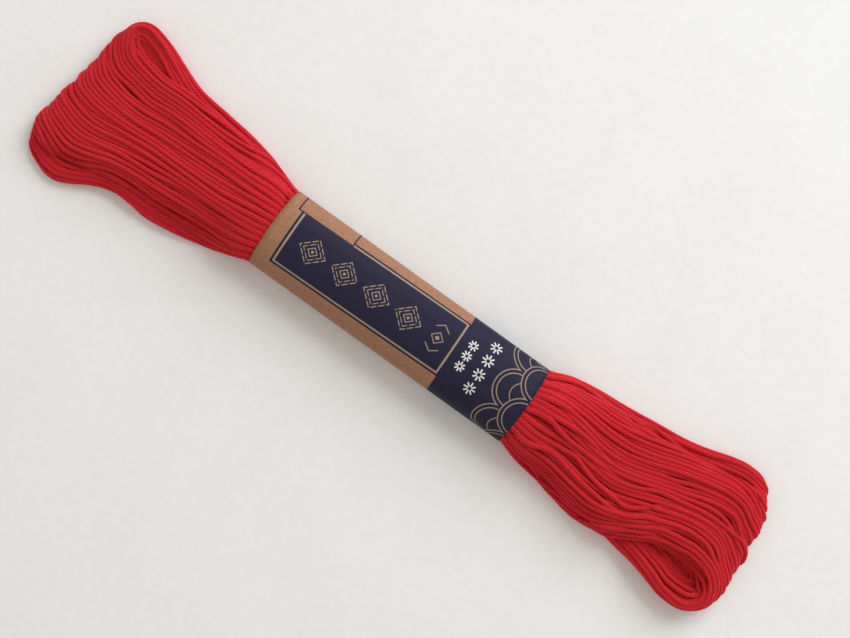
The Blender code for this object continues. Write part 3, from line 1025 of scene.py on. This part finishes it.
def stitched_stars(x, w, column, middle, pitch, count, size):
    """A column of eight-armed stars sewn in white."""
    shift = middle + 0.5 * pitch * ((count + 1) % 2)
    dx, dw = abs(x - column), abs((w - shift).from_nearest(pitch))
    arms = dx.least(dw).least(abs(dx - dw) * 0.71) - 0.15
    radius = from_centre(dx, dw)
    star = ink(arms.most(radius - size).most(0.3 * size - radius))
    return star * ink(abs(w - middle) - 0.5 * pitch * count)


def paper_material():
    material, shader = new_material("printed_kraft_paper", KRAFT, 0.62)
    shader.inputs["Specular IOR Level"].default_value = 0.14
    tree = material.node_tree
    paper_x, paper_w, _ = attribute_numbers(tree, "print")
    x, w = paper_x + paper_w * PRINT_TURN, paper_w - paper_x * PRINT_TURN
    rule, light, panel = (ink(box_distance(x, w, box)) for box in (RULE, LIGHT_LINE, PANEL))
    end_zone = ink(END_ZONE_WEST - x)
    tab, tab_inside = ink(box_distance(x, w, TAB)), ink(box_distance(x, w, TAB, 0.3))
    navy = ((rule - light + panel).most(end_zone) * (1.0 - tab)).most(tab - tab_inside)
    lines = ((light - panel) * (1.0 - tab)).most(stitched_diamonds(x, w) * panel) * (1.0 - end_zone)
    lines = lines.most(waves(x, w) * end_zone * 0.85)
    few_stars, many_stars = (stitched_stars(x, w, *row) for row in STARS)
    white = few_stars.most(many_stars)
    pulp = noise(tree, 1.0, 5.0, paper_x * 1.2, paper_w * 1.7, 0.0)
    fibres = noise(tree, 1.0, 3.0, paper_x * 4.5, paper_w * 7.5, 5.0)
    specks = noise(tree, 5.0, 2.0, paper_x, paper_w, 3.0)
    tone = (pulp * 1.6 + fibres * 1.5 + specks * 1.0 - 1.5).clamped()
    colour = mix_colours(tree, tone, KRAFT_DARK, KRAFT)
    colour = mix_colours(tree, (navy - (specks - 0.5).most(0.0) * 0.12).clamped(), colour, NAVY)
    colour = mix_colours(tree, lines, colour, LINE)
    colour = mix_colours(tree, white, colour, WHITE)
    tree.links.new(colour, shader.inputs["Base Color"])
    add_bump(tree, shader, pulp * 0.5 + fibres * 0.3 + specks * 0.3, 0.04)
    return material


# ---------------------------------------------------------------- the band


LAP = 7.0  # of the paper over itself, glued on the underside
STRIP_START = -4.4  # y where the strip begins, under its other end
LOWER_POINTS, OVER_POINTS = 60, 401  # on a lower corner of the outline, and over its top


def band_outline():
    """(y, z) round the outside of the band, from the strip's start north, over the top and back."""
    corner = np.linspace(0.0, 0.5 * math.pi, LOWER_POINTS)
    over = np.linspace(0.0, math.pi, OVER_POINTS)
    lower_y = BAND_CENTRE + BAND_HALF - BAND_LOW * (1 - np.sin(corner))
    lower_z = BAND_LOW * (1 - np.cos(corner))
    over_y = BAND_CENTRE + BAND_HALF * np.cos(over)
    over_z = BAND_LOW + (BAND_HEIGHT - BAND_LOW) * np.sin(over) ** 0.8
    y = np.concatenate([[STRIP_START], lower_y, over_y, 2 * BAND_CENTRE - lower_y[::-1], [STRIP_START]])
    z = np.concatenate([[0.0], lower_z, over_z, lower_z[::-1], [0.0]])
    return y, z


def grid_faces(rows, columns):
    """Faces of a closed sheet with rows x columns points on its outside, then as many on its inside."""
    base = rows * columns
    a = (np.arange(rows - 1)[:, None] * columns + np.arange(columns - 1)[None, :]).ravel()
    skin = np.stack([a, a + 1, a + columns + 1, a + columns], 1)
    west, east = np.arange(columns), (rows - 1) * columns + np.arange(columns - 2, -1, -1)
    last, first = np.arange(1, rows) * columns + columns - 1, np.arange(rows - 2, 0, -1) * columns
    border = np.concatenate([west, last, east, first])
    ahead = np.roll(border, -1)
    rim = np.stack([ahead, border, border + base, ahead + base], 1)
    return np.concatenate([skin, skin[:, ::-1] + base, rim])


def make_band(material):
    """One strip of paper round the floss, with its first edge glued on the inside of its last."""
    y, z = band_outline()
    length = np.r_[0.0, np.cumsum(np.hypot(np.diff(y), np.diff(z)))]
    girth = length[-1]
    crown = length[1 + LOWER_POINTS + OVER_POINTS // 2]
    place = np.linspace(0.0, girth + LAP, 190)
    x = np.linspace(BAND_WEST, BAND_EAST, 56)

    def on_outline(shift):
        at = (place + shift) % girth
        return np.interp(at, length, y), np.interp(at, length, z)

    (y0, z0), (y1, z1), (y2, z2) = (on_outline(shift) for shift in (0.0, -0.15, 0.15))
    size = np.hypot(y2 - y1, z2 - z1)
    outward = np.stack([0 * size, (z2 - z1) / size, -(y2 - y1) / size], 1)
    under = 1.08 * PAPER * (1 - smooth_step((place - LAP) / 3.0))
    along = np.linspace(-1.0, 1.0, len(x))[:, None]
    flat_x = x[:, None] + along * BAND_BOW * (1 - ((y0 - BAND_CENTRE) / BAND_HALF) ** 2)[None]
    flat_w = np.broadcast_to((crown - place)[None], flat_x.shape)
    threads = np.sin(2.1 * flat_w + 0.05 * flat_x) + np.sin(1.37 * flat_w - 0.08 * flat_x + 1.0)
    threads = threads + np.sin(0.16 * flat_x + 0.9 * flat_w + 2.0)
    relief = (0.022 * threads - 0.05) * smooth_step((z0 - 3.0) / 3.0)[None]
    depth = relief - under[None]
    outer = np.stack(np.broadcast_arrays(flat_x, y0[None], z0[None]), 2) + outward[None] * depth[..., None]
    inner = outer - outward[None] * PAPER
    vertices = np.concatenate([outer.reshape(-1, 3), inner.reshape(-1, 3)])
    faces = grid_faces(*flat_x.shape)
    obj = make_mesh("paper_band_printed", vertices, faces, material)
    flat = np.stack([flat_x, flat_w, 0 * flat_x], 2).reshape(-1, 3)
    point_vectors(obj, "print", np.concatenate([flat, flat - (200.0, 200.0, 0.0)]))
    sheet_x = (flat[:, 0] - BAND_WEST + BAND_BOW) / (BAND_EAST - BAND_WEST + 2 * BAND_BOW)
    sheet_w = (crown - flat[:, 1]) / (girth + LAP) * 0.48 + 0.01
    outside, inside = np.stack([sheet_x, sheet_w], 1), np.stack([sheet_x, sheet_w + 0.5], 1)
    corner_places(obj, np.concatenate([outside, inside])[faces])
    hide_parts("paper_band")
    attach(obj, "root")
    return obj


# ---------------------------------------------------------------- the studio

FLOOR_DARK = (0.765, 0.755, 0.735)
FLOOR_LIGHT = (0.885, 0.875, 0.865)


def floor_material():
    """White paper with a faint mottle."""
    material, shader = new_material("pale_floor", FLOOR_LIGHT, 0.7)
    tree = material.node_tree
    x, y, _ = vector_parts(tree, tree.nodes.new("ShaderNodeTexCoord").outputs["Object"])
    mottle = noise(tree, 60.0, 3.0, x, y, 0.0) * 0.5 + noise(tree, 480.0, 4.0, x, y, 0.0) * 0.5
    tree.links.new(mix_colours(tree, mottle, FLOOR_DARK, FLOOR_LIGHT), shader.inputs["Base Color"])
    return material


def add_floor():
    reach = 3.0
    corners = [(-reach, -reach, 0), (reach, -reach, 0), (reach, reach, 0), (-reach, reach, 0)]
    mesh = bpy.data.meshes.new("floor")
    mesh.from_pydata(corners, [], [(0, 1, 2, 3)])
    floor = bpy.data.objects.new("floor", mesh)
    bpy.context.scene.collection.objects.link(floor)
    mesh.materials.append(floor_material())


def add_window():
    """A window's cool light from the far right, turned to the skein."""
    data = bpy.data.lights.new("window", "AREA")
    data.energy = 6.0
    data.size = 0.6
    data.color = (0.89, 0.95, 1.0)
    light = bpy.data.objects.new("window", data)
    light.location = (0.14, 0.66, 0.48)
    light.rotation_euler = (-light.location).to_track_quat("-Z", "Y").to_euler()
    bpy.context.scene.collection.objects.link(light)


def add_room_light():
    """Soft warm light from all round."""
    world = bpy.data.worlds.new("studio")
    world.use_nodes = True
    background = world.node_tree.nodes["Background"]
    background.inputs["Color"].default_value = (1.0, 0.955, 0.895, 1.0)
    background.inputs["Strength"].default_value = 0.60
    bpy.context.scene.world = world
    bpy.context.scene.view_settings.view_transform = "Standard"


def add_camera():
    """Straight down, turned so that the skein lies aslant."""
    data = bpy.data.cameras.new("camera")
    data.sensor_width = 36.0
    data.lens = 72.0
    data.clip_start = 0.01
    camera = bpy.data.objects.new("camera", data)
    camera.location = (0.00351, 0.00221, 0.344)
    camera.rotation_euler = (0.0, 0.0, math.radians(35.6))
    bpy.context.scene.collection.objects.link(camera)
    bpy.context.scene.camera = camera


# ---------------------------------------------------------------- the scene

laid_thread, outermost_points = lay_thread()
settling_rounds = 300
thread = settle(laid_thread, outermost_points, settling_rounds)
make_floss(thread, outermost_points, floss_material())
make_band(paper_material())
add_floor()
add_window()
add_room_light()
add_camera()
